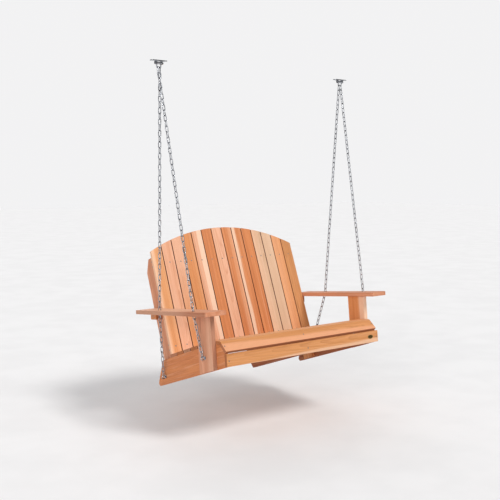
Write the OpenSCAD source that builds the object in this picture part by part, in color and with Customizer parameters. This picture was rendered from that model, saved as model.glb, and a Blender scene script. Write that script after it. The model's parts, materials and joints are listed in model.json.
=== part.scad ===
// Porch swing seat in cedar, hung on chains from two hangers.
//
// Row frame: the origin is midway between the two hangers, on the underside of the beam that carries them.
// +X runs along the seat to the sitter's left, +Y from the front to the back, +Z up. Millimetres.
//
// Seat frame: the wooden seat is drawn level. Y is measured back from the apron's front face, and Z up from
// the apron's lower edge. hang() tilts that frame and hangs it in the row frame, and hung() does so to a
// point.
// Back frame: local Z runs up the back's slats and local Y through them, from their front faces.

/* [Hanging] */
// Distance between the two hangers
hanger_spacing = 1410; // [1390:5:1440]
// Backward tilt of the hanging seat, in degrees
seat_tilt = 6.4; // [5:0.1:7]
// Height of the beam's underside above the apron's lower edge, square to the seat
hang_height = 1754; // [1740:1:1770]
// Distance of the hangers behind the apron's front face, along the seat
hang_setback = 313; // [295:1:330]

/* [Seat] */
// Length of the seat slats, over the outer faces of the side stringers
seat_length = 1166; // [1100:2:1180]
// Thickness of the stringers, apron, uprights and rails
board_t = 22; // [20:1:25]
// Thickness of the seat and back slats
slat_t = 20; // [18:1:21]
// Height of the apron
apron_h = 71; // [65:1:71]
// How far the apron runs past each side stringer
apron_overhang = 4; // [2:1:6]
// Fall of the seat towards the back, in degrees
seat_slope = 13; // [11:0.5:14]
// Depth of the stringers, square to the seat
stringer_depth = 148; // [140:1:150]
// Width of the nosing slat and of the sloping seat slats
slat_w = 76; // [70:1:77]
// Number of sloping seat slats
seat_slats = 6; // [6:1:6]
// Distance from one sloping seat slat to the next
seat_pitch = 81.5; // [80.5:0.5:82]

/* [Back] */
// Number of back slats
back_slats = 14; // [14:1:14]
// Distance from one back slat to the next
back_pitch = 81.3; // [80.5:0.1:81.3]
// Lean of the back from square to the level seat, in degrees
back_lean = 15.2; // [13:0.1:16]
// Length of the back at its side edges
back_side_h = 676; // [650:5:690]
// Length of the back at its middle
back_mid_h = 815; // [790:5:840]
// Width of a back upright
upright_w = 95; // [90:1:100]
// Width of a back rail
rail_w = 64; // [55:1:70]
// Height of the lower row of back screws
lower_rail_z = 59; // [55:1:65]
// Height of the upper row of back screws
upper_rail_z = 596; // [580:1:600]

/* [Arms] */
// Length of an arm
arm_length = 789; // [770:1:800]
// Width of an arm
arm_w = 138; // [130:1:142]
// Thickness of an arm
arm_t = 24; // [20:1:28]
// Height of the arm's top face
arm_top = 312; // [305:1:320]
// Thickness of an arm post
post_t = 28; // [22:1:30]
// Width of an arm post
post_w = 145; // [130:1:150]
// Radius of the chain holes in the arms
chain_hole_r = 15; // [14.5:0.5:16]

/* [Chain] */
// Diameter of the chain's wire
chain_wire = 5; // [4.5:0.5:5]
// Outside width of a chain link
link_width = 20; // [19:1:21]
// Links from the shackle to the arm, front chain
front_upper_links = 45; // [45:2:45]
// Links from the arm to the eye bolt, front chain
front_lower_links = 8; // [8:2:8]
// Links from the shackle to the arm, rear chain
rear_upper_links = 44; // [44:2:44]
// Links from the arm to the eye bolt, rear chain
rear_lower_links = 13; // [13:2:13]

/* [Hanger] */
// Length of the hanger's base plate
plate_l = 100; // [98:1:110]
// Width of the hanger's base plate
plate_w = 32; // [30:1:36]
// Distance between the hanger's two screw holes
plate_hole_spacing = 74; // [73:1:80]
// Radius of the hanger's screw holes
plate_hole_r = 4.5; // [4:0.5:5]
// Radius of the hanger's pivot bolt
pin_r = 4; // [4:0.5:4]
// Radius of the shackle's and the eye bolts' wire
shackle_r = 3; // [3:0.5:3]

/* [Hidden] */
$fn = 48;

// Colours of the cedar boards and of the metal
ORANGE = [0.85, 0.57, 0.36];
PINK = [0.90, 0.66, 0.52];
CREAM = [0.92, 0.76, 0.60];
GOLD = [0.86, 0.64, 0.38];
SALMON = [0.80, 0.52, 0.40];
ZINC = [0.72, 0.73, 0.75];
BRONZE = [0.42, 0.34, 0.18];
BACK_TONES = concat(
    [ORANGE, PINK, ORANGE, ORANGE, PINK, ORANGE, PINK],
    [ORANGE, ORANGE, ORANGE, CREAM, CREAM, SALMON, GOLD]
);

// Side view of the seat top: front edge of the nosing, crest, and start of the slope
nose = [8, 86];
nose_angle = 45;
crest = nose + slat_w * [cos(nose_angle), sin(nose_angle)];
crest_slat_w = 80;
joint_gap = 1;
slope_start = [crest.x + crest_slat_w + 5.5, crest.y];

// Stringers: the upper line lies under the sloping slats, the lower line is parallel to it
stringer_out = seat_length / 2;
stringer_in = stringer_out - board_t;
stringer_mid = stringer_out - board_t / 2;
crest_under = crest.y - slat_t;
function upper_line(y) = slope_start.y - slat_t / cos(seat_slope) - (y - slope_start.x) * tan(seat_slope);
function lower_line(y) = upper_line(y) - stringer_depth / cos(seat_slope);
upper_line_meets_crest = slope_start.x + (upper_line(slope_start.x) - crest_under) / tan(seat_slope);
side_tail_top = 718;
side_tail_bottom = 792;
tail_radius = 16;
centre_tail_top = 612;
centre_tail_bottom = 555;
centre_tail_cut = 60;

// Back: where the slats' lower front edge stands in the seat frame, and the arc of their tops
back_foot = [0, 620.5, 20];
back_half = (back_pitch * (back_slats - 1) + slat_w) / 2;
back_rise = back_mid_h - back_side_h;
crown_r = (back_half * back_half + back_rise * back_rise) / (2 * back_rise);
upright_in = stringer_in - board_t;
upright_foot = -150;
upright_top = 640;

// Arms, posts and the cleats under the arms' rear ends
arm_in = 569;
arm_clip = 25;
arm_under = arm_top - arm_t;
arm_hole_x = 666;
front_hole_y = 186;
rear_hole_y = 566;
hole_z = arm_top - arm_t / 2;
post_front = 105;
post_out = stringer_out + post_t;
cleat_front = 722;
cleat_h = 44;
cleat_w = 44;

// Eye bolts: side view of their axes, and the ring's size
front_eye = [183, 43];
rear_eye = [689, -110];
eye_ring_r = 10;
eye_shank_r = 4;
washer_t = 2;
washer_r = 10;
nut_t = 6.5;
nut_r = 7.5;
eye_offset = washer_t + eye_ring_r + shackle_r + 1;

// Chain: room left between links, and between a link and the bar or ring that it hangs on
link_gap = 0.3;
hook_gap = 0.8;

// Hangers and shackles
hanger_x = hanger_spacing / 2;
plate_t = 4;
cheek_t = 3;
cheek_in = 18;
cheek_r = 9;
pin_z = -16;
bar_z = -42;
bar_half = 8.5;
bend_r = 5;
eye_half = 8.5;
shackle_eye_t = 7;
running_gap = 0.08;
link_seat_x = 6.4;

// Screws
screw_r = 2;
screw_head_r = 4.2;
screw_head_t = 2.6;
screw_room = 0.15;
socket_w = 2.8;
socket_depth = 1.8;

// Puts things drawn in the seat frame in the row frame
module hang() {
    rotate([-seat_tilt, 0, 0]) translate([0, -hang_setback, -hang_height]) children();
}

// The same for a point
function hung(p) = let (y = p.y - hang_setback, z = p.z - hang_height) [
    p.x,
    y * cos(seat_tilt) + z * sin(seat_tilt),
    z * cos(seat_tilt) - y * sin(seat_tilt)
];

// Puts things drawn in the back frame in the row frame
module hang_back() {
    hang() translate(back_foot) rotate([-back_lean, 0, 0]) children();
}

// Draws its children for the right side, and mirrored for the left side
module both_sides() {
    children();
    mirror([1, 0, 0]) children();
}

// A board cut to a side view, from x0 to x1
module side_board(outline, x0, x1) {
    translate([x0, 0, 0]) rotate([90, 0, 90]) linear_extrude(x1 - x0) polygon(outline);
}

// Countersunk screw, driven down local Z from its head at the origin. A larger room makes its hole.
module screw_body(length, room) {
    translate([0, 0, -screw_head_t - room])
        cylinder(r1 = screw_r + room, r2 = screw_head_r + room, h = screw_head_t + 2 * room);
    translate([0, 0, -length - room]) cylinder(r = screw_r + room, h = length - screw_head_t + room);
}

// The screw itself has a square driver socket
module screw(length, room = 0) {
    if (room > 0) screw_body(length, room);
    else difference() {
        screw_body(length, 0);
        translate([-socket_w / 2, -socket_w / 2, -socket_depth])
            cube([socket_w, socket_w, socket_depth + 1]);
    }
}

// ---- Seat ----

// Screw places along a seat slat, one for each stringer
stringer_xs = [-stringer_mid, 0, stringer_mid];
seat_screw_l = 50;

// Local frame of a seat slat: Y from its front edge, Z up from its top face. 0 is the nosing, 1 the crest
// slat.
module at_seat_slat(i) {
    if (i == 0) translate([0, nose.x, nose.y]) rotate([nose_angle, 0, 0]) children();
    if (i == 1) translate([0, crest.x, crest.y]) children();
    if (i > 1) translate([0, slope_start.x, slope_start.y]) rotate([-seat_slope, 0, 0])
        translate([0, (i - 2) * seat_pitch, 0]) children();
}

module seat_slat_screws(i, room = 0) {
    at_seat_slat(i) for (x = stringer_xs) translate([x, slat_w / 2, 0]) screw(seat_screw_l, room);
}

// Apron screws, one into the front end of each stringer
apron_screw_z = 32;
apron_screw_l = 57;
module apron_screw_row(room = 0) {
    for (x = stringer_xs) translate([x, 0, apron_screw_z]) rotate([90, 0, 0]) screw(apron_screw_l, room);
}

function front_outline() = [
    [board_t, lower_line(board_t)],
    [board_t, nose.y - slat_t * cos(nose_angle) - (nose.x + slat_t * sin(nose_angle) - board_t)],
    [nose.x + slat_t * sin(nose_angle) + crest_under - nose.y + slat_t * cos(nose_angle), crest_under],
    [upper_line_meets_crest, crest_under]
];

// Points of a corner of radius r at p, whose sides run in directions a (in) and b (out), in degrees
function round_corner(p, a, b, r) = let (
    half = (b - a) / 2,
    centre = p + r / cos(half) * [cos(a + half + 90), sin(a + half + 90)]
) [for (k = [0:8]) centre + r * [cos(a - 90 + (b - a) * k / 8), sin(a - 90 + (b - a) * k / 8)]];

tail_low = [side_tail_bottom, lower_line(side_tail_bottom)];
tail_high = [side_tail_top, upper_line(side_tail_top)];
tail_turn = atan2(tail_high.y - tail_low.y, tail_high.x - tail_low.x);

module side_stringer_board() {
    outline = concat([tail_high], [for (k = [3:-1:0]) front_outline()[k]],
        round_corner(tail_low, -seat_slope, tail_turn, tail_radius));
    side_board(outline, stringer_in, stringer_out);
}

module stringer_holes() {
    for (i = [0:seat_slats + 1]) seat_slat_screws(i, screw_room);
    apron_screw_row(screw_room);
}

module right_stringer_board() {
    difference() {
        side_stringer_board();
        stringer_holes();
        side_screws(screw_room);
        eye_bolt_holes();
    }
}

module right_stringer() {
    color(SALMON) hang() right_stringer_board();
}

module left_stringer() {
    color(SALMON) hang() mirror([1, 0, 0]) right_stringer_board();
}

module centre_stringer() {
    tail_y = upper_line(centre_tail_top);
    outline = concat(front_outline(), [
        [centre_tail_top, tail_y],
        [centre_tail_top, tail_y - centre_tail_cut],
        [centre_tail_bottom, lower_line(centre_tail_bottom)]
    ]);
    color(SALMON) hang() difference() {
        side_board(outline, -board_t / 2, board_t / 2);
        stringer_holes();
    }
}

module front_apron() {
    length = seat_length + 2 * apron_overhang;
    color(ORANGE) hang() difference() {
        translate([-length / 2, 0, 0]) cube([length, board_t, apron_h]);
        apron_screw_row(screw_room);
    }
}

// A plain seat slat with its screw holes
module slat_board(i, width) {
    difference() {
        at_seat_slat(i) translate([-stringer_out, 0, -slat_t]) cube([seat_length, width, slat_t]);
        seat_slat_screws(i, screw_room);
    }
}

module nosing_slat() {
    color(PINK) hang() slat_board(0, slat_w);
}

// Its front edge is bevelled to lie along the nosing's rear edge
module crest_slat() {
    bevel = [
        [crest.x + joint_gap, crest.y],
        [crest.x + crest_slat_w, crest.y],
        [crest.x + crest_slat_w, crest_under],
        [crest.x + joint_gap + slat_t, crest_under]
    ];
    color(ORANGE) hang() difference() {
        side_board(bevel, -stringer_out, stringer_out);
        seat_slat_screws(1, screw_room);
    }
}

module seat_slat(k) {
    color(k % 2 == 0 ? PINK : ORANGE) hang() slat_board(k + 1, slat_w);
}

// Small blank oval plate on the apron
module oval_plate() {
    plate = [46, 25, 1.5];
    plate_place = [520, 0, 37];
    outline = [for (k = [0:47]) [plate.x / 2 * cos(k * 7.5), plate.y / 2 * sin(k * 7.5)]];
    color(BRONZE) hang() translate(plate_place) rotate([90, 0, 0]) linear_extrude(plate.z) polygon(outline);
}

// ---- Back ----

back_screw_l = 38;
function slat_x(k) = (k - (back_slats + 1) / 2) * back_pitch;

// Screws of back slat k, one into each rail
module back_slat_screws(k, room = 0) {
    for (z = [lower_rail_z, upper_rail_z])
        translate([slat_x(k), 0, z]) rotate([90, 0, 0]) screw(back_screw_l, room);
}

module back_slat(k) {
    color(BACK_TONES[k - 1]) hang_back() difference() {
        intersection() {
            translate([slat_x(k) - slat_w / 2, 0, 0]) cube([slat_w, slat_t, back_mid_h]);
            translate([0, -1, back_mid_h - crown_r]) rotate([-90, 0, 0])
                cylinder(r = crown_r, h = slat_t + 2, $fn = 720);
        }
        back_slat_screws(k, screw_room);
    }
}

// Screws from the uprights into the rails' ends, right side
rail_screw_l = 60;
rail_screw_offset = 16;
module rail_end_screws(room = 0) {
    for (z = [lower_rail_z, upper_rail_z], side = [-1, 1])
        translate([stringer_in, slat_t + board_t / 2, z + side * rail_screw_offset])
            rotate([0, 90, 0]) screw(rail_screw_l, room);
}

module back_rail(z) {
    difference() {
        translate([-upright_in, slat_t, z - rail_w / 2]) cube([2 * upright_in, board_t, rail_w]);
        for (k = [1:back_slats]) back_slat_screws(k, screw_room);
        both_sides() rail_end_screws(screw_room);
    }
}

module lower_back_rail() {
    color(SALMON) hang_back() back_rail(lower_rail_z);
}

module upper_back_rail() {
    color(SALMON) hang_back() back_rail(upper_rail_z);
}

// Screws from the right upright into its stringer
upright_screw_l = 40;
upright_screw_places = [[45, -50], [85, -50], [45, -110]];
module upright_screws(room = 0) {
    translate(back_foot) rotate([-back_lean, 0, 0]) for (p = upright_screw_places)
        translate([upright_in, p.x, p.y]) rotate([0, -90, 0]) screw(upright_screw_l, room);
}

module right_upright_board() {
    top_clip = [50, 75];
    rear = slat_t + upright_w;
    outline = [
        [slat_t, upright_foot],
        [rear, upright_foot],
        [rear, upright_top - top_clip.y],
        [rear - top_clip.x, upright_top],
        [slat_t, upright_top]
    ];
    difference() {
        translate(back_foot) rotate([-back_lean, 0, 0]) difference() {
            side_board(outline, upright_in, stringer_in);
            rail_end_screws(screw_room);
        }
        side_screws(screw_room);
        cleat_screws(screw_room);
        eye_bolt_holes();
    }
}

module right_back_upright() {
    color(SALMON) hang() right_upright_board();
}

module left_back_upright() {
    color(SALMON) hang() mirror([1, 0, 0]) right_upright_board();
}

// ---- Arms ----

// Screws from the right stringer into its post, and from the upright into the stringer
post_screw_l = 44;
post_screw_places = [[125, 10], [125, 85], [220, -25], [220, 55]];
module side_screws(room = 0) {
    for (p = post_screw_places)
        translate([stringer_in, p.x, p.y]) rotate([0, -90, 0]) screw(post_screw_l, room);
    upright_screws(room);
}

// Screws down through the right arm, two into the post and two into the cleat
arm_screw_l = 60;
arm_screw_places = [
    [stringer_out + post_t / 2, post_front + 25],
    [stringer_out + post_t / 2, post_front + post_w - 25],
    [stringer_in + cleat_w / 2, cleat_front + 13],
    [stringer_in + cleat_w / 2, arm_length - 9]
];
module right_arm_screws(room = 0) {
    for (p = arm_screw_places) translate([p.x, p.y, arm_top]) screw(arm_screw_l, room);
}

// Screws from the right cleat into its upright
cleat_screw_l = 60;
module cleat_screws(room = 0) {
    for (y = [cleat_front + 28, cleat_front + 46])
        translate([stringer_in + cleat_w, y, arm_under - cleat_h / 2]) rotate([0, 90, 0])
            screw(cleat_screw_l, room);
}

module right_arm_board() {
    outline = [
        [arm_in, 0],
        [arm_in + arm_w - arm_clip, 0],
        [arm_in + arm_w, arm_clip + 4],
        [arm_in + arm_w, arm_length],
        [arm_in, arm_length]
    ];
    difference() {
        translate([0, 0, arm_under]) linear_extrude(arm_t) polygon(outline);
        for (y = [front_hole_y, rear_hole_y])
            translate([arm_hole_x, y, arm_under - 1]) cylinder(r = chain_hole_r, h = arm_t + 2);
        right_arm_screws(screw_room);
    }
}

module right_arm() {
    color(PINK) hang() right_arm_board();
}

module left_arm() {
    color(PINK) hang() mirror([1, 0, 0]) right_arm_board();
}

module right_post_board() {
    rear = post_front + post_w;
    outline = [
        [post_front, lower_line(post_front)],
        [rear, lower_line(rear)],
        [rear, arm_under],
        [post_front, arm_under]
    ];
    difference() {
        side_board(outline, stringer_out, post_out);
        side_screws(screw_room);
        right_arm_screws(screw_room);
        eye_bolt_holes();
    }
}

module right_arm_post() {
    color(ORANGE) hang() right_post_board();
}

module left_arm_post() {
    color(PINK) hang() mirror([1, 0, 0]) right_post_board();
}

module right_cleat_block() {
    difference() {
        translate([stringer_in, cleat_front, arm_under - cleat_h])
            cube([cleat_w, arm_length - cleat_front, cleat_h]);
        right_arm_screws(screw_room);
        cleat_screws(screw_room);
    }
}

module right_arm_cleat() {
    color(SALMON) hang() right_cleat_block();
}

module left_arm_cleat() {
    color(SALMON) hang() mirror([1, 0, 0]) right_cleat_block();
}

// ---- Screws, as groups ----

module back_screws() {
    color(ZINC) hang_back() for (k = [1:back_slats]) back_slat_screws(k);
}

module seat_screws() {
    color(ZINC) hang() for (i = [0:seat_slats + 1]) seat_slat_screws(i);
}

module apron_screws() {
    color(ZINC) hang() apron_screw_row();
}

module frame_screws() {
    color(ZINC) hang() both_sides() {
        side_screws();
        cleat_screws();
        translate(back_foot) rotate([-back_lean, 0, 0]) rail_end_screws();
    }
}

module arm_screws() {
    color(ZINC) hang() both_sides() right_arm_screws();
}

// ---- Chains ----

// One straight-sided link along Z in the YZ plane, inner length given
module link(inner) {
    mid_r = (link_width - chain_wire) / 2;
    half_straight = (inner + chain_wire) / 2 - mid_r;
    for (side = [-1, 1])
        translate([0, side * mid_r, -half_straight]) cylinder(d = chain_wire, h = 2 * half_straight);
    for (turn = [0, 180]) rotate([turn, 0, 0]) translate([0, 0, half_straight]) rotate([90, 0, 90])
        rotate_extrude(angle = 180) translate([mid_r, 0]) circle(d = chain_wire);
}

// Turns local -Z into direction d
module aim(d) {
    rotate([asin(d.y), atan2(-d.x, -d.z), 0]) children();
}

// Links from a to b, sharing the length equally. The first lies in the YZ plane when turned is 0, and across
// it when turned is 1.
module chain_run(a, b, links, turned) {
    step = norm(b - a) / links;
    d = (b - a) / norm(b - a);
    for (i = [0:links - 1]) translate(a + (i + 0.5) * step * d) aim(d)
        rotate([0, 0, 90 * ((i + turned) % 2)]) link(step + link_gap);
}

// Places where the chains of the right side start, pass the arm and end
chain_top = [hanger_x, 0, bar_z + shackle_r + hook_gap - link_gap / 2];
front_pass = hung([arm_hole_x, front_hole_y, hole_z]);
rear_pass = hung([arm_hole_x, rear_hole_y, hole_z]);
front_ring = hung([post_out + eye_offset, front_eye.x, front_eye.y]);
rear_ring = hung([stringer_out + eye_offset, rear_eye.x, rear_eye.y]);
ring_to_link = eye_ring_r - shackle_r - hook_gap + link_gap / 2;
function ring_end(ring, pass) = ring + ring_to_link * (pass - ring) / norm(pass - ring);

// The right side's upper chain, its top link on the outer or the inner part of the shackle's bar
module upper_chain(pass, links, offset) {
    chain_run(chain_top + [offset, 0, 0], pass, links, 0);
}

module front_upper() {
    color(ZINC) upper_chain(front_pass, front_upper_links, link_seat_x);
}

module rear_upper() {
    color(ZINC) upper_chain(rear_pass, rear_upper_links, -link_seat_x);
}

module front_lower() {
    end = ring_end(front_ring, front_pass);
    color(ZINC) chain_run(front_pass, end, front_lower_links, front_upper_links % 2);
}

module rear_lower() {
    end = ring_end(rear_ring, rear_pass);
    color(ZINC) chain_run(rear_pass, end, rear_lower_links, rear_upper_links % 2);
}

module right_front_upper_chain() {
    front_upper();
}

module right_rear_upper_chain() {
    rear_upper();
}

module right_front_lower_chain() {
    front_lower();
}

module right_rear_lower_chain() {
    rear_lower();
}

module left_front_upper_chain() {
    mirror([1, 0, 0]) front_upper();
}

module left_rear_upper_chain() {
    mirror([1, 0, 0]) rear_upper();
}

module left_front_lower_chain() {
    mirror([1, 0, 0]) front_lower();
}

module left_rear_lower_chain() {
    mirror([1, 0, 0]) rear_lower();
}

// ---- Eye bolts ----

// Clearance holes of the right side's eye bolts
module eye_bolt_holes() {
    for (p = [front_eye, rear_eye])
        translate([upright_in - 5, p.x, p.y]) rotate([0, 90, 0]) cylinder(r = eye_shank_r + 0.3, h = 100);
}

// Eye bolt along X. inner and outer are the faces that it clamps, ring_turn lines its ring up with the
// chain.
module eye_bolt(place, inner, outer, ring_turn) {
    ring_x = outer + eye_offset;
    shank_end = ring_x - eye_ring_r;
    tip = inner - washer_t - nut_t - 4;
    translate([0, place.x, place.y]) {
        translate([tip, 0, 0]) rotate([0, 90, 0]) cylinder(r = eye_shank_r, h = shank_end - tip);
        translate([ring_x, 0, 0]) rotate([90 + ring_turn, 0, 0])
            rotate_extrude() translate([eye_ring_r, 0]) circle(r = shackle_r);
    }
}

// Washer under the ring, and washer and nut at the inner face
module eye_bolt_fixings(place, inner, outer) {
    translate([0, place.x, place.y]) {
        for (x = [outer, inner - washer_t]) translate([x, 0, 0]) rotate([0, 90, 0]) difference() {
            cylinder(r = washer_r, h = washer_t);
            translate([0, 0, -1]) cylinder(r = eye_shank_r + 0.2, h = washer_t + 2);
        }
        translate([inner - washer_t - nut_t, 0, 0]) rotate([0, 90, 0]) difference() {
            cylinder(r = nut_r, h = nut_t, $fn = 6);
            translate([0, 0, -1]) cylinder(r = eye_shank_r + 0.05, h = nut_t + 2);
        }
    }
}

module front_eye_bolts() {
    color(ZINC) hang() both_sides() eye_bolt(front_eye, stringer_in, post_out, 0);
}

rear_ring_turn = atan2(rear_eye.x - rear_hole_y, hole_z - rear_eye.y);
module rear_eye_bolts() {
    color(ZINC) hang() both_sides() eye_bolt(rear_eye, upright_in, stringer_out, rear_ring_turn);
}

module eye_bolt_nuts() {
    color(ZINC) hang() both_sides() {
        eye_bolt_fixings(front_eye, stringer_in, post_out);
        eye_bolt_fixings(rear_eye, upright_in, stringer_out);
    }
}

// ---- Hangers and shackles, drawn at the middle and moved to each side ----

module cheek_outline() {
    root = plate_w / 2;
    tip = 8.5;
    polygon([[-root, -plate_t + 1], [root, -plate_t + 1], [tip, pin_z + 3], [-tip, pin_z + 3]]);
    translate([0, pin_z]) circle(r = cheek_r);
}

module plate_outline() {
    corner = 6;
    square([plate_l, plate_w - 2 * corner], center = true);
    square([plate_l - 2 * corner, plate_w], center = true);
    for (x = [-1, 1], y = [-1, 1])
        translate([x * (plate_l / 2 - corner), y * (plate_w / 2 - corner)]) circle(r = corner);
}

module hanger() {
    difference() {
        union() {
            translate([0, 0, -plate_t]) linear_extrude(plate_t) plate_outline();
            for (x = [cheek_in, -cheek_in - cheek_t])
                translate([x, 0, 0]) rotate([90, 0, 90]) linear_extrude(cheek_t) cheek_outline();
        }
        for (side = [-1, 1])
            translate([side * plate_hole_spacing / 2, 0, -plate_t - 1])
                cylinder(r = plate_hole_r, h = plate_t + 2);
        translate([-30, 0, pin_z]) rotate([0, 90, 0]) cylinder(r = pin_r + 0.1, h = 60);
    }
}

module right_hanger() {
    color(ZINC) translate([hanger_x, 0, 0]) hanger();
}

module left_hanger() {
    color(ZINC) translate([-hanger_x, 0, 0]) hanger();
}

// Pivot bolt, its nut, and the sleeve that keeps the shackle in the middle
module hanger_pin() {
    outer = cheek_in + cheek_t;
    head_t = 5;
    sleeve_half = 9.7;
    translate([0, 0, pin_z]) rotate([0, 90, 0]) {
        translate([0, 0, -outer - head_t]) cylinder(r = nut_r, h = head_t, $fn = 6);
        translate([0, 0, -outer - 1]) cylinder(r = pin_r, h = 2 * outer + nut_t + 3);
        translate([0, 0, outer]) difference() {
            cylinder(r = nut_r, h = nut_t, $fn = 6);
            translate([0, 0, -1]) cylinder(r = pin_r + 0.05, h = nut_t + 2);
        }
        translate([0, 0, -sleeve_half]) difference() {
            cylinder(r = pin_r + 3, h = 2 * sleeve_half);
            translate([0, 0, -1]) cylinder(r = pin_r + 0.05, h = 2 * sleeve_half + 2);
        }
    }
}

module hanger_pins() {
    color(ZINC) for (x = [-hanger_x, hanger_x]) translate([x, 0, 0]) hanger_pin();
}

// A flat-bottomed shackle: two eyes on the pivot bolt, two legs, and the bar that carries the top links
module shackle() {
    leg_x = bar_half + bend_r;
    difference() {
        union() {
            translate([-bar_half, 0, bar_z]) rotate([0, 90, 0]) cylinder(r = shackle_r, h = 2 * bar_half);
            for (side = [0, 180]) rotate([0, 0, side]) {
                translate([bar_half, 0, bar_z + bend_r]) rotate([90, 0, 0]) rotate([0, 0, -90])
                    rotate_extrude(angle = 90) translate([bend_r, 0]) circle(r = shackle_r);
                translate([leg_x, 0, bar_z + bend_r]) cylinder(r = shackle_r, h = pin_z - bar_z - bend_r);
                translate([leg_x - shackle_eye_t / 2, 0, pin_z]) rotate([0, 90, 0])
                    cylinder(r = eye_half, h = shackle_eye_t);
            }
        }
        translate([-30, 0, pin_z]) rotate([0, 90, 0]) cylinder(r = pin_r + running_gap, h = 60);
    }
}

module right_shackle() {
    color(ZINC) translate([hanger_x, 0, 0]) shackle();
}

module left_shackle() {
    color(ZINC) translate([-hanger_x, 0, 0]) shackle();
}

left_hanger();
right_hanger();
hanger_pins();
left_shackle();
right_shackle();
left_front_upper_chain();
left_rear_upper_chain();
right_front_upper_chain();
right_rear_upper_chain();
left_front_lower_chain();
left_rear_lower_chain();
right_front_lower_chain();
right_rear_lower_chain();
front_eye_bolts();
rear_eye_bolts();
eye_bolt_nuts();
left_stringer();
centre_stringer();
right_stringer();
front_apron();
nosing_slat();
crest_slat();
for (k = [1:seat_slats]) seat_slat(k);
for (k = [1:back_slats]) back_slat(k);
lower_back_rail();
upper_back_rail();
left_back_upright();
right_back_upright();
left_arm();
right_arm();
left_arm_post();
right_arm_post();
left_arm_cleat();
right_arm_cleat();
back_screws();
seat_screws();
apron_screws();
frame_screws();
arm_screws();
oval_plate();
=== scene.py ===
import json
import math

import bmesh
import bpy
import numpy as np
from mathutils import Matrix, Vector


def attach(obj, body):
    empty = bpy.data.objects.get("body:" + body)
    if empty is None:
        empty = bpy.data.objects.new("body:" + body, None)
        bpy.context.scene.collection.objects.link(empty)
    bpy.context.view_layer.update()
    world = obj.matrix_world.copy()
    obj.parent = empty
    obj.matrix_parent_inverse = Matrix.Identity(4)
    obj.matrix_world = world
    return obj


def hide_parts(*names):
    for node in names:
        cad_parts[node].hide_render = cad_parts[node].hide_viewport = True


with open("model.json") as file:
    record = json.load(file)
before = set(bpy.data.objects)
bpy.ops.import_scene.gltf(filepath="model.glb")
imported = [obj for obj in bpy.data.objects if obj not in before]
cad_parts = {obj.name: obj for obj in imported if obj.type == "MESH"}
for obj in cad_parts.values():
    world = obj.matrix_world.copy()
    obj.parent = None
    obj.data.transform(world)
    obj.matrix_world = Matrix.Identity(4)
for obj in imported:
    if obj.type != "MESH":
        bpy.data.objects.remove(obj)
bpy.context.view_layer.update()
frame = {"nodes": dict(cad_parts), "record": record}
nodes = frame["nodes"]
record = frame["record"]
scene = bpy.context.scene
BODY_OF = {node: body for body, members in record["behaviour"]["bodies"].items() for node in members}
MM = 0.001


def grey(value):
    return (value, value, value, 1)


def srgb(r, g, b):
    """A colour given as 0..255 screen values, as a linear RGBA."""
    def linear(value):
        value /= 255
        return value / 12.92 if value <= 0.04045 else ((value + 0.055) / 1.055) ** 2.4
    return (linear(r), linear(g), linear(b), 1.0)


# ---- Node graphs ----


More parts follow.
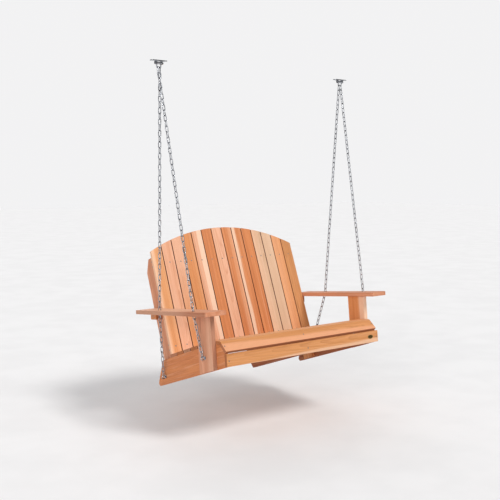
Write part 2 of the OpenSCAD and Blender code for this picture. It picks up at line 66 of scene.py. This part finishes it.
class Graph:
    """The nodes of a material or a world. Most methods add a node and return its output socket."""

    def __init__(self, owner):
        self.owner = owner
        owner.use_nodes = True
        self.tree = owner.node_tree
        self.tree.nodes.clear()

    def add(self, kind, inputs=None, out=0, **settings):
        node = self.tree.nodes.new(kind)
        for key, value in settings.items():
            setattr(node, key, value)
        for key, value in (inputs or {}).items():
            if isinstance(value, bpy.types.NodeSocket):
                self.tree.links.new(value, node.inputs[key])
            else:
                node.inputs[key].default_value = value
        return node.outputs[out]

    def math(self, operation, a, b=0.0, c=0.0):
        return self.add("ShaderNodeMath", {0: a, 1: b, 2: c}, operation=operation)

    def plus(self, a, b):
        return self.math("ADD", a, b)

    def minus(self, a, b):
        return self.math("SUBTRACT", a, b)

    def times(self, a, b):
        return self.math("MULTIPLY", a, b)

    def scaled(self, value, factor, offset):
        """value * factor + offset"""
        return self.math("MULTIPLY_ADD", value, factor, offset)

    def distance(self, x, y):
        """How far the point x, y is from 0, 0."""
        return self.math("SQRT", self.plus(self.times(x, x), self.times(y, y)))

    def combine(self, x, y, z):
        return self.add("ShaderNodeCombineXYZ", {0: x, 1: y, 2: z})

    def dot(self, a, b):
        return self.add("ShaderNodeVectorMath", {0: a, 1: tuple(b)}, out="Value", operation="DOT_PRODUCT")

    def place(self, middle=None):
        """The shaded point, in metres. It is counted from middle, where that is given."""
        place = self.add("ShaderNodeTexCoord", out="Object")
        if middle is None:
            return place
        return self.add("ShaderNodeVectorMath", {0: place, 1: tuple(middle)}, operation="SUBTRACT")

    def noise(self, place, scale=1.0, detail=2.0, rough=0.5):
        return self.add("ShaderNodeTexNoise",
                        {"Vector": place, "Scale": scale, "Detail": detail, "Roughness": rough})

    def between(self, value, low, high, to_low=0.0, to_high=1.0):
        """value eased from the range low..high to the range to_low..to_high, and held at its ends."""
        return self.add("ShaderNodeMapRange", {0: value, 1: low, 2: high, 3: to_low, 4: to_high},
                        interpolation_type="SMOOTHSTEP")

    def mix(self, share, a, b):
        """Colour a, turned to colour b by share."""
        return self.add("ShaderNodeMix", {0: share, 6: a, 7: b}, out=2, data_type="RGBA")

    def ramp(self, value, stops):
        """The colour at value on a ramp of (position, colour) stops, the first at 0 and the last at 1."""
        colour = self.add("ShaderNodeValToRGB", {0: value})
        elements = colour.node.color_ramp.elements
        elements[0].color = stops[0][1]
        elements[1].color = stops[-1][1]
        for position, stop in stops[1:-1]:
            elements.new(position).color = stop
        return colour

    def finish(self, kind, surface):
        """Joins surface to an output node of this kind."""
        output = self.tree.nodes.new(kind)
        self.tree.links.new(surface, output.inputs["Surface"])
        return self.owner

    def principled(self, colour, roughness, height, bump, distance, **fixed):
        """Finishes a material with a bumpy surface. fixed are values that don't vary, by socket name."""
        normal = self.add("ShaderNodeBump", {"Strength": bump, "Distance": distance, "Height": height})
        inputs = {"Base Color": colour, "Roughness": roughness, "Normal": normal}
        inputs.update({name.replace("_", " "): value for name, value in fixed.items()})
        return self.finish("ShaderNodeOutputMaterial", self.add("ShaderNodeBsdfPrincipled", inputs))


def material_graph(name):
    return Graph(bpy.data.materials.new(name))


def dress(obj, material):
    """Gives every material slot of obj this material."""
    obj.data.materials.clear()
    obj.data.materials.append(material)


# ---- Camera, floor and light ----

CAMERA_PLACE = Vector((-3.009, -3.987, -0.696))
CAMERA_TURN = 37.4
CAMERA_PITCH = 5.0
CAMERA_LENS = 56.5
CAMERA_SHIFT = (-0.024, 0.002)
SEAT_CENTRE = Vector((0, -0.1, -1.45))
GROUND_Z = -2.196
FLOOR_REACH = 40.0
BACKDROP = (0.892, 0.889, 0.896, 1)
# What the metal mirrors, from level (0) and below to straight up (1): dark beyond the porch, bright overhead
SKY = ((0.0, grey(0.1)), (0.2, grey(0.05)), (0.34, grey(0.33)), (1.0, (0.6, 0.6, 0.61, 1)))
# The suns: name, place, strength, spread in degrees, which softens their shadows, and tint
LIGHTS = (("key", (1.4, -4.3, 3.0), 1.7, 16.0, (1.0, 0.985, 0.96)),
          ("fill", (-7.0, -4.4, 1.0), 1.4, 40.0, (1, 1, 1)),
          ("rear", (2.4, 6.6, 3.2), 0.6, 45.0, (1, 1, 1)))


def make_camera():
    data = bpy.data.cameras.new("camera")
    data.lens = CAMERA_LENS
    data.shift_x, data.shift_y = CAMERA_SHIFT
    camera = bpy.data.objects.new("camera", data)
    scene.collection.objects.link(camera)
    camera.location = CAMERA_PLACE
    camera.rotation_euler = (math.radians(90 - CAMERA_PITCH), 0, math.radians(-CAMERA_TURN))
    scene.camera = camera


def make_world():
    """The sky for the metal to mirror. The camera itself sees the plain backdrop."""
    g = Graph(bpy.data.worlds.new("studio"))
    scene.world = g.owner
    direction = g.add("ShaderNodeTexCoord", out="Generated")
    upward = g.add("ShaderNodeSeparateXYZ", {0: direction}, out="Z")
    seen = g.add("ShaderNodeLightPath", out="Is Camera Ray")
    colour = g.mix(seen, g.ramp(upward, SKY), BACKDROP)
    g.finish("ShaderNodeOutputWorld", g.add("ShaderNodeBackground", {"Color": colour, "Strength": 1.0}))


def floor_paint():
    """Plain pale studio floor."""
    g = material_graph("floor")
    mottle = g.noise(g.place(), 3.0, 3.0)
    colour = g.mix(g.between(mottle, 0.3, 0.7), srgb(238, 238, 239), srgb(234, 234, 235))
    roughness = g.between(mottle, 0.3, 0.7, 0.85, 0.95)
    return g.principled(colour, roughness, mottle, 0.02, 1 * MM, Specular_IOR_Level=0.0)


def make_floor():
    data = bpy.data.meshes.new("floor")
    signs = ((-1, -1), (1, -1), (1, 1), (-1, 1))
    corners = [(x * FLOOR_REACH, y * FLOOR_REACH, GROUND_Z) for x, y in signs]
    data.from_pydata(corners, [], [(0, 1, 2, 3)])
    floor = bpy.data.objects.new("floor", data)
    scene.collection.objects.link(floor)
    dress(floor, floor_paint())


def make_lights():
    """Suns light the whole floor evenly. Each shines from its place's side to the seat."""
    for name, place, strength, spread, tint in LIGHTS:
        data = bpy.data.lights.new(name, "SUN")
        data.energy = strength
        data.angle = math.radians(spread)
        data.color = tint
        light = bpy.data.objects.new(name, data)
        scene.collection.objects.link(light)
        light.location = place
        light.rotation_euler = (SEAT_CENTRE - Vector(place)).to_track_quat("-Z", "Y").to_euler()


# ---- A board's axes ----


class Board:
    """A board's own axes, found from its faces: through is square to its broad faces, across to its edges."""

    # Cosines of the angle between two normals: they look the same way above the first, and are square below the
    # second
    SAME_WAY = 0.999
    EDGE_ON = 0.05

    def __init__(self, obj):
        mesh = obj.data
        normals = np.array([p.normal for p in mesh.polygons])
        areas = np.array([p.area for p in mesh.polygons])
        self.through = self.widest(normals, areas)
        edge_on = np.abs(normals @ self.through) < self.EDGE_ON
        self.across = self.widest(normals[edge_on], areas[edge_on])
        self.along = np.cross(self.through, self.across)
        self.along *= np.sign(self.along[np.argmax(np.abs(self.along))])
        axes = np.stack([self.along, self.across, self.through])
        turned = np.array([v.co for v in mesh.vertices]) @ axes.T
        low, high = turned.min(0), turned.max(0)
        self.size = high - low
        self.centre = ((low + high) / 2) @ axes

    @classmethod
    def widest(cls, normals, areas):
        """The direction that the most face area looks in. Its largest part is made positive."""
        def area_facing(i):
            return areas[np.abs(normals @ normals[i]) > cls.SAME_WAY].sum()
        best = max(range(len(normals)), key=area_facing)
        direction = normals[best] / np.linalg.norm(normals[best])
        return direction * np.sign(direction[np.argmax(np.abs(direction))])


# ---- Cedar ----

# Tones: pale early wood, a second shade that the board drifts to, and the dark late wood of the rings
TONES = {
    "peach": (srgb(234, 174, 124), srgb(226, 160, 106), srgb(180, 104, 58)),
    "orange": (srgb(228, 158, 102), srgb(217, 143, 88), srgb(170, 92, 46)),
    "amber": (srgb(220, 142, 88), srgb(206, 128, 78), srgb(160, 84, 42)),
    "pink": (srgb(236, 184, 152), srgb(225, 165, 128), srgb(200, 128, 92)),
    "cream": (srgb(223, 188, 158), srgb(213, 174, 142), srgb(188, 142, 104)),
    "gold": (srgb(214, 149, 95), srgb(203, 138, 84), srgb(162, 100, 52)),
    "salmon": (srgb(220, 156, 122), srgb(206, 138, 102), srgb(168, 98, 66)),
    # A darker russet, painted shade for the stringers that lie in the shade under the seat
    "russet": (srgb(178, 108, 68), srgb(154, 86, 52), srgb(112, 58, 34)),
}
SAPWOOD = srgb(243, 208, 180)
PINK_SAP = srgb(240, 184, 148)
ROSE = srgb(227, 164, 124)
# The painted shade of the gaps between boards, laid on the boards' long edges
GAP_SHADE = srgb(108, 50, 28)
END_GRAIN = srgb(150, 84, 50)
HEART_STREAK = srgb(150, 82, 52)
KNOT = srgb(92, 48, 28)

# Layers of noise drawn out along the grain: length and breadth of the blotches in metres, detail, roughness,
# and a salt that keeps the layers of one board apart
GRAIN = {
    "sway": (0.5, 0.6, 1.0, 0.5, 0.0),
    "tremor": (0.09, 0.05, 1.0, 0.5, 4.0),
    "drift": (0.75, 0.028, 2.0, 0.5, 9.0),
    "ring_strength": (0.6, 0.05, 1.0, 0.5, 2.0),
    "heart": (0.9, 0.006, 3.0, 0.6, 6.0),
    "light": (1.1, 0.007, 2.0, 0.55, 13.0),
    "sap_edge": (0.5, 0.004, 3.0, 0.6, 17.0),
    "fibre": (0.035, 0.0009, 3.0, 0.65, 1.0),
}
SEED_STEP = 3.7
# The log's middle wanders sideways (m), leans (m per m), and its rings tremble and bulge round a knot (m)
WANDER = 0.030
LEAN = 0.018
TREMBLE = 0.004
KNOT_BULGE = 0.011
# A knot's length along the grain is its width over this
KNOT_SLIMNESS = 0.62
# One ring from early to late wood, and how much of the tone's dark colour there is
RING_STOPS = ((0.0, grey(0)), (0.45, grey(0.12)), (0.78, grey(0.55)), (0.9, grey(1.0)), (1.0, grey(0.25)))


class Timber(Graph):
    """The nodes of one board's wood. along, across and through are the shaded point's place in the board."""

    def __init__(self, name, board, seed):
        super().__init__(bpy.data.materials.new(name))
        self.seed = seed
        local = self.place(board.centre)
        self.along = self.dot(local, board.along)
        self.across = self.dot(local, board.across)
        self.through = self.dot(local, board.through)
        self.sway = self.minus(self.streaks("sway"), 0.5)

    def streaks(self, layer):
        """The noise of one layer of GRAIN, shifted by the board's own seed."""
        length, breadth, detail, rough, salt = GRAIN[layer]
        place = self.combine(self.scaled(self.along, 1 / length, self.seed + salt),
                             self.scaled(self.across, 1 / breadth, self.seed * 1.7),
                             self.scaled(self.through, 1 / breadth, self.seed * 0.6))
        return self.noise(place, 1.0, detail, rough)

    def radius(self, pith):
        """How far the shaded point is from the middle of the log."""
        side = self.plus(self.minus(self.across, pith[0]), self.times(self.sway, WANDER))
        depth = self.plus(self.minus(self.through, pith[1]), self.times(self.along, LEAN))
        tremor = self.minus(self.streaks("tremor"), 0.5)
        return self.scaled(tremor, TREMBLE, self.distance(side, depth))

    def knot_distance(self, knot):
        """How far the shaded point is from a knot's middle, in radii of the knot."""
        knot_along, knot_across, knot_radius = knot
        return self.distance(self.times(self.minus(self.along, knot_along), KNOT_SLIMNESS / knot_radius),
                             self.times(self.minus(self.across, knot_across), 1 / knot_radius))

    def sapwood(self, board, sap, lean, share):
        """How far the wood has turned to sapwood, whose boundary is ragged and wanders with the log."""
        edge = self.plus(self.math("DIVIDE", self.across, board.size[1]), self.times(self.sway, 0.28))
        edge = self.scaled(self.along, lean / board.size[0], edge)
        edge = self.scaled(self.minus(self.streaks("sap_edge"), 0.5), 0.32, edge)
        return self.between(edge, sap[0], sap[1], 0.0, share)


def cedar(name, board, seed, tone, pith=(0.11, -0.05), ring=3.2, drift=0.5, blush=None, sap=None,
          sap_tone=SAPWOOD, sap_share=0.85, sap_lean=0.0, knot=None, soaked=(1.0, 1.0), ends=0.7):
    """Clear-oiled cedar sawn from a log.

    pith: where the log's middle lies from the board's, across and through it, in metres. It sets how the
        rings meet the faces.
    ring: the rings' spacing in millimetres.
    drift: how much of the board takes the tone's second shade.
    blush: a second tone, which the board turns to along its length.
    sap: the stretch of the width over which sapwood begins, in widths from the middle. sap_tone is its
        colour, sap_share how far it takes over, and sap_lean how much it shifts over the board's length.
    knot: (along, across, radius) in metres from the middle.
    soaked: how dark the long edges are painted, as painted shade for the gaps between boards and other shaded
    edges, at the low and the high side.
    ends: how dark the sawn ends are.
    """
    g = Timber(name, board, seed)
    pale, shade, dark = TONES[tone]
    radius = g.radius(pith)
    if knot:
        to_knot = g.knot_distance(knot)
        radius = g.scaled(g.between(to_knot, 3.4, 0.6), KNOT_BULGE, radius)
    late = g.ramp(g.math("FRACT", g.math("DIVIDE", radius, ring * MM)), RING_STOPS)
    fibre = g.streaks("fibre")

    # Colour: broad drift, rings, dark and light streaks, the sapwood's boundary, fine fibres and the knot
    colour = g.mix(g.between(g.streaks("drift"), 0.36, 0.66, 0.0, 2 * drift), pale, shade)
    if blush:
        turned = g.plus(g.math("DIVIDE", g.along, board.size[0]), g.times(g.sway, 0.9))
        colour = g.mix(g.between(turned, -0.28, 0.22), colour, TONES[blush][0])
    ring_strength = g.between(g.streaks("ring_strength"), 0.3, 0.75, 0.22, 0.6)
    colour = g.mix(g.times(late, ring_strength), colour, dark)
    colour = g.mix(g.between(g.streaks("heart"), 0.53, 0.78, 0.0, 0.44), colour, HEART_STREAK)
    light_streak = tuple((a + b) / 2 for a, b in zip(pale, SAPWOOD))
    colour = g.mix(g.between(g.streaks("light"), 0.53, 0.74, 0.0, 0.42), colour, light_streak)
    if sap:
        colour = g.mix(g.sapwood(board, sap, sap_lean, sap_share), colour, sap_tone)
    colour = g.mix(g.between(fibre, 0.35, 0.72, 0.0, 0.22), colour, dark)
    if knot:
        colour = g.mix(g.times(g.between(to_knot, 1.15, 0.75), 0.88), colour, KNOT)

    #     Sawn ends are darker end grain, which drinks more oil. The long edges are darkened with painted shade,
    #     standing in for the shadow in the gaps between boards
    facing = g.add("ShaderNodeTexCoord", out="Normal")
    end = g.between(g.math("ABSOLUTE", g.dot(facing, board.along)), 0.7, 0.9)
    colour = g.mix(g.times(end, ends), colour, END_GRAIN)
    sideways = g.dot(facing, board.across)
    for sign, share in zip((-1, 1), soaked):
        if share:
            edge_shade_mask = g.between(g.times(sideways, sign), 0.72, 0.97, 0.0, share)
            colour = g.mix(edge_shade_mask, colour, GAP_SHADE)
    roughness = g.plus(g.between(fibre, 0.3, 0.7, 0.44, 0.62), g.times(end, 0.2))
    height = g.plus(g.times(late, -0.35), g.times(fibre, 0.9))
    return g.principled(colour, roughness, height, 0.45, 0.35 * MM, Specular_IOR_Level=0.26)


# ---- Metals ----


def zinc():
    """Bright zinc plating on steel, with a faint spangle and dull patches."""
    g = material_graph("zinc")
    place = g.place()
    spangle = g.add("ShaderNodeTexVoronoi", {"Vector": place, "Scale": 420.0}, out="Color")
    spangle = g.add("ShaderNodeSeparateColor", {0: spangle})
    patches = g.noise(place, 65.0, 4.0, 0.6)
    colour = g.mix(g.between(patches, 0.42, 0.68), srgb(180, 183, 189), srgb(84, 86, 92))
    colour = g.mix(g.times(spangle, 0.18), colour, srgb(224, 227, 231))
    roughness = g.plus(g.between(patches, 0.35, 0.7, 0.1, 0.3), g.times(spangle, 0.08))
    return g.principled(colour, roughness, g.noise(place, 900.0, 2.0), 0.12, 0.1 * MM, Metallic=1.0)


def screw_steel():
    """Dull stainless steel, with the fine turning marks and tarnish of a driven screw."""
    g = material_graph("screw_steel")
    place = g.place()
    tarnish = g.noise(place, 240.0, 4.0, 0.65)
    colour = g.mix(g.between(tarnish, 0.38, 0.66), srgb(150, 150, 152), srgb(96, 92, 90))
    roughness = g.between(tarnish, 0.3, 0.7, 0.28, 0.5)
    return g.principled(colour, roughness, g.noise(place, 1600.0, 2.0), 0.15, 0.08 * MM, Metallic=1.0)


def bronze(board):
    """Antique bronze: dark brown patina in the middle of the oval, rubbed to warm metal on its rim."""
    g = material_graph("bronze")
    place = g.place()
    patina = g.noise(place, 190.0, 5.0, 0.6)
    colour = g.mix(g.between(patina, 0.38, 0.66), srgb(108, 88, 48), srgb(72, 57, 33))
    local = g.place(board.centre)
    reach = g.combine(g.dot(local, board.along * 2 / board.size[0]),
                      g.dot(local, board.across * 2 / board.size[1]), 0.0)
    from_middle = g.add("ShaderNodeVectorMath", {0: reach}, out="Value", operation="LENGTH")
    rubbed = g.times(g.between(from_middle, 0.84, 0.9), g.between(patina, 0.7, 0.4, 0.45, 0.95))
    colour = g.mix(rubbed, colour, srgb(186, 158, 100))
    roughness = g.scaled(rubbed, -0.14, g.between(patina, 0.35, 0.65, 0.34, 0.5))
    return g.principled(colour, roughness, g.noise(place, 700.0, 3.0), 0.25, 0.12 * MM, Metallic=0.85)


# ---- Boards ----

EDGE_ROUND = 1.8 * MM
EDGE_SEGMENTS = 3
WELD_REACH = 0.001 * MM
# Turns between faces, in degrees: a flat seam is below the first, an edge to ease above one of the others
FLAT_SEAM = 0.2
BOARD_CORNER = 60.0
METAL_CORNER = 40.0
# How strongly the large faces keep their flat shading next to eased edges, from 1 to 100
FLAT_SHADING = 80


def ease_edges(obj, width, corner):
    """Welds a CAD node's faces, clears its flat seams and rounds the edges that turn by more than corner."""
    weld = obj.modifiers.new("weld", "WELD")
    weld.merge_threshold = WELD_REACH
    flat = obj.modifiers.new("clear_flat_seams", "DECIMATE")
    flat.decimate_type = "DISSOLVE"
    flat.angle_limit = math.radians(FLAT_SEAM)
    bevel = obj.modifiers.new("eased_edges", "BEVEL")
    bevel.width = width
    bevel.segments = EDGE_SEGMENTS
    bevel.limit_method = "ANGLE"
    bevel.angle_limit = math.radians(corner)
    bevel.use_clamp_overlap = False
    bevel.miter_outer = "MITER_ARC"
    shade = obj.modifiers.new("even_shading", "WEIGHTED_NORMAL")
    shade.weight = FLAT_SHADING


# One look for each board. The back slats run from the left to the right, seen from the front, and the seat
# slats from the front to the back.
# No painted shade on a board's long edges
NO_EDGE_SHADE = (0.0, 0.0)
# The back slats get painted gap shade on their long edges, except the outer edges of the end slats
BACK_LOOKS = [
    dict(tone="peach", sap=(-0.20, -0.42), sap_share=0.6, pith=(0.16, -0.03), soaked=(0.0, 0.9)),
    dict(tone="pink", pith=(0.02, -0.07), drift=0.4),
    dict(tone="orange", blush="pink", pith=(0.13, -0.05)),
    dict(tone="orange", pith=(-0.15, 0.04)),
    dict(tone="pink", sap=(-0.03, 0.06), sap_share=0.9, pith=(-0.09, 0.06)),
    dict(tone="amber", pith=(0.19, 0.02), ring=2.6),
    dict(tone="pink", pith=(0.01, 0.09), drift=0.25),
    dict(tone="amber", sap=(-0.15, 0.5), sap_share=0.55, sap_tone=PINK_SAP, pith=(-0.14, 0.03), drift=0.6),
    dict(tone="amber", sap=(-0.12, -0.24), pith=(0.17, 0.05)),
    dict(tone="amber", pith=(-0.12, -0.06), drift=0.7),
    dict(tone="cream", pith=(0.03, -0.06), drift=0.4, sap=(0.4, -0.6), sap_share=0.4, sap_tone=PINK_SAP),
    dict(tone="cream", pith=(-0.10, 0.05), ring=2.8, drift=0.3),
    dict(tone="orange", pith=(0.14, -0.04), drift=0.4, sap=(0.9, -0.5), sap_share=0.3, sap_tone=PINK_SAP),
    dict(tone="gold", pith=(-0.02, 0.08), soaked=(0.9, 0.0)),
]
SEAT_LOOKS = [
    dict(tone="orange", pith=(0.03, -0.08)),
    dict(tone="pink", pith=(0.15, 0.04)),
    dict(tone="gold", pith=(-0.12, 0.05), knot=(0.31, -0.012, 0.006)),
    dict(tone="cream", pith=(-0.02, 0.07), sap=(0.2, 0.45)),
    dict(tone="orange", pith=(0.16, -0.03), drift=0.7),
    dict(tone="pink", pith=(0.02, -0.06), knot=(-0.27, 0.015, 0.005)),
]
LOOKS = {
    "front_apron": dict(tone="gold", pith=(0.015, 0.085), drift=0.4, ring=3.6, sap=(-0.25, -0.42),
                        sap_lean=-0.35, sap_share=0.5, soaked=NO_EDGE_SHADE),
    "nosing_slat": dict(tone="gold", pith=(-0.01, -0.075), drift=0.4, ring=3.6, sap=(0.12, -0.12),
                        sap_lean=0.45, sap_tone=ROSE, sap_share=0.95, soaked=(0.55, 0.9)),
    "crest_slat": dict(tone="peach", pith=(0.12, -0.05), soaked=(0.5, 0.9)),
    "left_arm": dict(tone="salmon", blush="pink", pith=(0.02, -0.10), ring=3.4, soaked=(0.35, 0.1),
                     ends=0.15),
    "right_arm": dict(tone="salmon", pith=(-0.03, -0.09), ring=3.4, drift=0.3, soaked=NO_EDGE_SHADE, ends=0.15),
    # The left post's front edge gets painted shade
    "left_arm_post": dict(tone="salmon", pith=(0.03, 0.07), sap=(0.1, -0.5), sap_share=0.3, ring=3.6,
                          soaked=(0.4, 0.0)),
    "right_arm_post": dict(tone="orange", pith=(0.16, 0.03), sap=(-0.17, -0.27), ring=3.4, soaked=NO_EDGE_SHADE),
    "left_stringer": dict(tone="amber", pith=(0.05, 0.08), drift=0.7, soaked=NO_EDGE_SHADE),
    # The stringers under the seat take the darker tone as painted shade
    "centre_stringer": dict(tone="russet", pith=(-0.04, 0.07), drift=0.9, soaked=(0.5, 0.5)),
    "right_stringer": dict(tone="russet", pith=(0.06, -0.07), drift=0.4, soaked=NO_EDGE_SHADE),
    "lower_back_rail": dict(tone="gold", pith=(0.02, -0.06), soaked=NO_EDGE_SHADE),
    "upper_back_rail": dict(tone="salmon", pith=(-0.02, 0.07), knot=(0.22, 0.008, 0.005), soaked=NO_EDGE_SHADE),
    "left_back_upright": dict(tone="salmon", pith=(0.03, 0.06), soaked=NO_EDGE_SHADE),
    "right_back_upright": dict(tone="orange", pith=(-0.03, 0.06), soaked=NO_EDGE_SHADE),
    "left_arm_cleat": dict(tone="orange", pith=(0.05, 0.05), soaked=NO_EDGE_SHADE),
    "right_arm_cleat": dict(tone="pink", pith=(0.05, 0.05), soaked=NO_EDGE_SHADE),
}
LOOKS.update({f"back_slat_{k + 1}": look for k, look in enumerate(BACK_LOOKS)})
LOOKS.update({f"seat_slat_{k + 1}": look for k, look in enumerate(SEAT_LOOKS)})


def dress_boards():
    for number, (name, look) in enumerate(sorted(LOOKS.items())):
        seed = SEED_STEP * (number + 1)
        dress(nodes[name], cedar(f"cedar_{name}", Board(nodes[name]), seed, **look))
        ease_edges(nodes[name], EDGE_ROUND, BOARD_CORNER)


# ---- New pieces ----


def add_skin(mesh, loops):
    """Smooth faces between each closed loop of mesh points and the next."""
    for first, second in zip(loops, loops[1:]):
        for k in range(len(first)):
            after = (k + 1) % len(first)
            face = mesh.faces.new((first[k], first[after], second[after], second[k]))
            face.smooth = True


def add_piece(name, mesh, node, material):
    """Makes the finished mesh an object that stands for a CAD node and rides where the node does."""
    bmesh.ops.recalc_face_normals(mesh, faces=mesh.faces)
    data = bpy.data.meshes.new(name)
    mesh.to_mesh(data)
    mesh.free()
    piece = bpy.data.objects.new(name, data)
    scene.collection.objects.link(piece)
    dress(piece, material)
    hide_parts(node)
    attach(piece, BODY_OF[node])


# ---- Chains ----

LINK_SIDES = 12
LINK_BEND_STEPS = 10
# The butt weld in the middle of one leg: places along it in wire diameters, and how much the wire swells
WELD = ((-0.50, 1.0), (-0.32, 1.10), (-0.14, 1.11), (0.0, 1.05), (0.14, 1.11), (0.32, 1.10), (0.50, 1.0))


def loose_parts(obj):
    """The points of each separate solid in a node's mesh, as arrays. Points that agree to 1 um are one."""
    mesh = obj.data
    points = np.array([v.co for v in mesh.vertices])
    places, merged = np.unique(np.round(points / MM, 3), axis=0, return_inverse=True)
    merged = merged.ravel()
    edges = merged[np.array([e.vertices for e in mesh.edges])]
    label = np.arange(len(places))
    while True:
        lowest = np.minimum(label[edges[:, 0]], label[edges[:, 1]])
        new = label.copy()
        np.minimum.at(new, edges[:, 0], lowest)
        np.minimum.at(new, edges[:, 1], lowest)
        new = new[new]
        if (new == label).all():
            break
        label = new
    return [places[label == value] * MM for value in np.unique(label)]


def own_axes(points):
    """The middle of a link, its axes from longest to shortest, and its size along them."""
    spread = np.linalg.eigh(np.cov((points - points.mean(0)).T))[1][:, ::-1].T
    turned = points @ spread.T
    size = turned.max(0) - turned.min(0)
    middle = ((turned.max(0) + turned.min(0)) / 2) @ spread
    return Vector(middle), [Vector(axis) for axis in spread], [float(reach) for reach in size]


def link_rings(size):
    """Centre, outward direction and swelling of each ring of wire round a link, in the link's own plane."""
    length, width, wire = size
    bend = (width - wire) / 2
    straight = (length - width) / 2
    rings = []
    for end in (1, -1):
        for step in range(LINK_BEND_STEPS + 1):
            angle = math.pi * step / LINK_BEND_STEPS
            out = Vector((end * math.sin(angle), end * math.cos(angle), 0))
            rings.append((Vector((end * straight, 0, 0)) + bend * out, out, 1.0))
        if end == 1:
            for place, swell in WELD:
                rings.append((Vector((-place * wire, -bend, 0)), Vector((0, -1, 0)), swell))
    return rings


def add_link(mesh, middle, axes, size):
    """One welded link, swept as a ring of wire. axes and size run from its length to its thickness."""
    turn = Matrix(axes).transposed()
    if turn.determinant() < 0:
        turn.col[2] = -turn.col[2]
    loops = []
    for centre, out, swell in link_rings(size):
        radius = size[2] / 2 * swell
        loop = []
        for side in range(LINK_SIDES):
            angle = 2 * math.pi * side / LINK_SIDES
            point = centre + radius * (math.cos(angle) * out + math.sin(angle) * Vector((0, 0, 1)))
            loop.append(mesh.verts.new(middle + turn @ point))
        loops.append(loop)
    add_skin(mesh, loops + loops[:1])


def make_chains(material):
    for node in sorted(nodes):
        if not node.endswith("_chain"):
            continue
        mesh = bmesh.new()
        for points in loose_parts(nodes[node]):
            add_link(mesh, *own_axes(points))
        add_piece(node.replace("_chain", "_links"), mesh, node, material)


# ---- Oval plate ----

PLATE_POINTS = 64
# From the rim to the middle: share of the half width, and height above the apron as a share of the thickness
PLATE_PROFILE = ((1.0, 0.0), (1.0, 0.72), (0.975, 0.92), (0.93, 1.0), (0.87, 0.98), (0.835, 0.86),
                 (0.82, 0.62), (0.78, 0.52), (0.6, 0.66), (0.35, 0.76), (0.12, 0.80))


def make_oval_plate():
    """A blank cast oval with a raised rim and a slightly crowned middle."""
    board = Board(nodes["oval_plate"])
    length, width, thickness = board.size
    half_long, half_wide = length / 2, width / 2
    along, across, outward = Vector(board.along), Vector(board.across), -Vector(board.through)
    foot = Vector(board.centre) - outward * thickness / 2
    mesh = bmesh.new()
    loops = []
    for share, height in PLATE_PROFILE:
        inset = (1 - share) * half_wide
        loop = []
        for step in range(PLATE_POINTS):
            angle = 2 * math.pi * step / PLATE_POINTS
            flat = (along * (half_long - inset) * math.cos(angle)
                    + across * (half_wide - inset) * math.sin(angle))
            loop.append(mesh.verts.new(foot + flat + outward * height * thickness))
        loops.append(loop)
    add_skin(mesh, loops)
    mesh.faces.new(loops[-1])
    mesh.faces.new(loops[0][::-1])
    add_piece("blank_oval_plate", mesh, "oval_plate", bronze(board))


# ---- Metal fittings ----

# The pressed and turned fittings, with how much their edges are rounded in millimetres
FITTINGS = {"left_hanger": 0.6, "right_hanger": 0.6, "eye_bolt_nuts": 0.4, "hanger_pins": 0.4}
BENT_FITTINGS = ("left_shackle", "right_shackle", "front_eye_bolts", "rear_eye_bolts")
SCREWS = ("back_screws", "seat_screws", "apron_screws", "frame_screws", "arm_screws")


def dress_metal(plating, steel):
    for name, width in FITTINGS.items():
        dress(nodes[name], plating)
        ease_edges(nodes[name], width * MM, METAL_CORNER)
    for name in BENT_FITTINGS:
        dress(nodes[name], plating)
    for name in SCREWS:
        dress(nodes[name], steel)


# ---- The scene ----

make_camera()
make_world()
make_floor()
make_lights()
scene.view_settings.view_transform = "Standard"

dress_boards()
plating = zinc()
dress_metal(plating, screw_steel())
make_chains(plating)
make_oval_plate()
